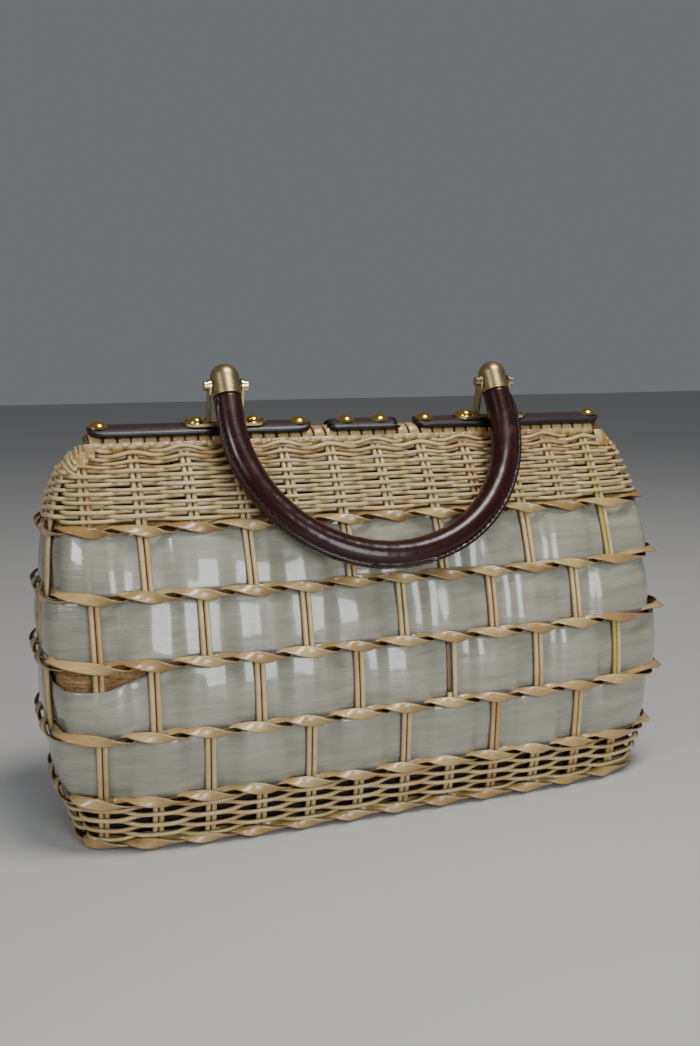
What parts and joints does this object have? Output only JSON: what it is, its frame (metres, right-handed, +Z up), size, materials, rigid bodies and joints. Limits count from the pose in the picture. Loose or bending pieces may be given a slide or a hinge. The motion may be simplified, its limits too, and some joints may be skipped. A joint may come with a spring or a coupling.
{
  "type": "basket box bag",
  "caption": "Woven reed and vinyl box handbag with rounded ends, a wrapped rim, a rear lid and a swinging leather carrying handle on brass brackets.",
  "frame": {"origin": "middle of the base, on the surface the bag stands on", "axes": "+Z up, +X to the bag's right seen from its front, +Y to its back; the handle hangs on the -Y side"},
  "size_m": [0.3612, 0.128, 0.2446],
  "materials": {
    "reed": "varnished natural reed",
    "cane": "glossy split cane",
    "vinyl": "pearlised grey-white",
    "board": "bare fibre board",
    "bar_wood": "plain",
    "core": "plain",
    "strap_leather": "worn dark purple-brown",
    "handle_leather": "glossy dark oxblood",
    "bright_brass": "bright",
    "pale_brass": "polished, pale",
    "cap_brass": "satin"
  },
  "bodies": {
    "basket": {"foot_border": "cane", "lower_weave": "reed", "cane_row_e": "cane", "vinyl_strip_4": "vinyl", "cane_row_d": "cane", "vinyl_strip_3": "vinyl", "cane_row_c": "cane", "vinyl_strip_2": "vinyl", "cane_row_b": "cane", "vinyl_strip_1": "vinyl", "cane_row_a": "cane", "upper_weave": "reed", "stakes": "reed", "base_weave": "reed", "base_board": "board", "lining": "board", "rim_bar": "bar_wood", "rim_wrap": "cane", "left_strap": "strap_leather", "right_strap": "strap_leather", "centre_patch": "strap_leather", "tacks": "bright_brass", "plate_rivets": "bright_brass", "left_plate": "pale_brass", "right_plate": "pale_brass", "left_bracket": "pale_brass", "right_bracket": "pale_brass", "left_pin": "pale_brass", "right_pin": "pale_brass", "pin_washers": "pale_brass", "body_loops": "cane", "hinge_rod": "cane"},
    "handle": {"handle_core": "core", "handle_cover": "handle_leather", "left_cap": "cap_brass", "right_cap": "cap_brass"},
    "lid": {"lid_panel": "reed", "lid_rim": "cane", "lid_loops": "cane"}
  },
  "joints": [
    {"name": "handle_swing", "type": "hinge", "parent": "basket", "child": "handle", "pos_m": [0, -0.0105, 0.23308], "axis": [-1, 0, 0], "range_deg": [0, 270]},
    {"name": "lid_hinge", "type": "hinge", "parent": "basket", "child": "lid", "pos_m": [0, 0.0584, 0.166], "axis": [-1, 0, 0], "range_deg": [0, 150]}
  ]
}
